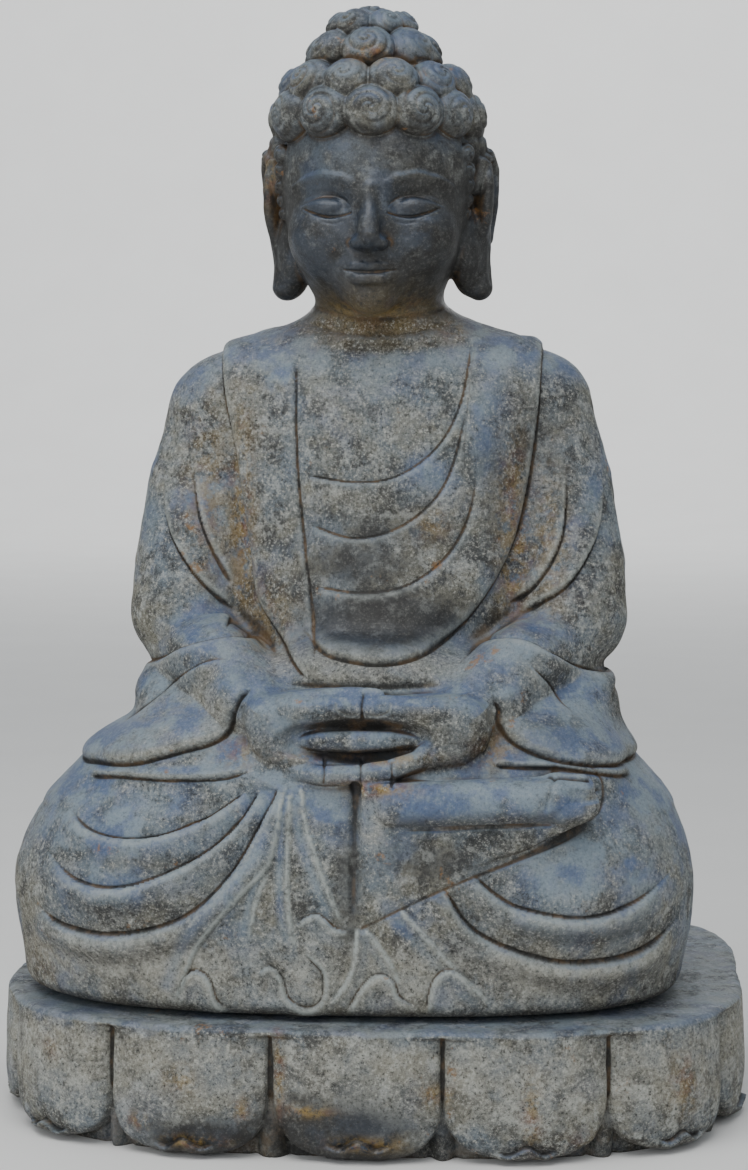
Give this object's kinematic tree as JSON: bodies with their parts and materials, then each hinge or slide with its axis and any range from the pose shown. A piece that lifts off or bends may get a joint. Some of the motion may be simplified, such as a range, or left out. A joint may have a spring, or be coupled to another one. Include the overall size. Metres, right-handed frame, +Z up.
{
  "type": "seated buddha statue",
  "caption": "Carved stone figure seated in meditation on a separate lotus-petal base, located by hidden steel dowels on slate shims.",
  "frame": {"origin": "centre of the lotus base's underside, on the ground", "axes": "+Z up, the figure faces -Y, +X is the figure's own left hand"},
  "size_m": [0.6815, 0.5099, 1],
  "materials": {
    "base_stone": "bush-hammered grey-brown stone, pitted, with ochre and dark stains",
    "figure_stone": "bush-hammered grey stone, rubbed blue-grey on raised faces, ochre in the creases",
    "dowel_steel": "plain drawn stainless bar",
    "setting_resin": "set stone-dust resin",
    "shim_slate": "split slate"
  },
  "bodies": {
    "base": {"lotus_base": "base_stone", "dowel_left": "dowel_steel", "dowel_right": "dowel_steel", "dowel_resin_left": "setting_resin", "dowel_resin_right": "setting_resin", "shim_front_left": "shim_slate", "shim_front_right": "shim_slate", "shim_rear_left": "shim_slate", "shim_rear_right": "shim_slate"},
    "figure": {"seated_figure": "figure_stone"}
  },
  "joints": [
    {"name": "figure_lift", "type": "slide", "parent": "base", "child": "figure", "axis": [0, 0, 1], "range_m": [0, 0.08]}
  ]
}
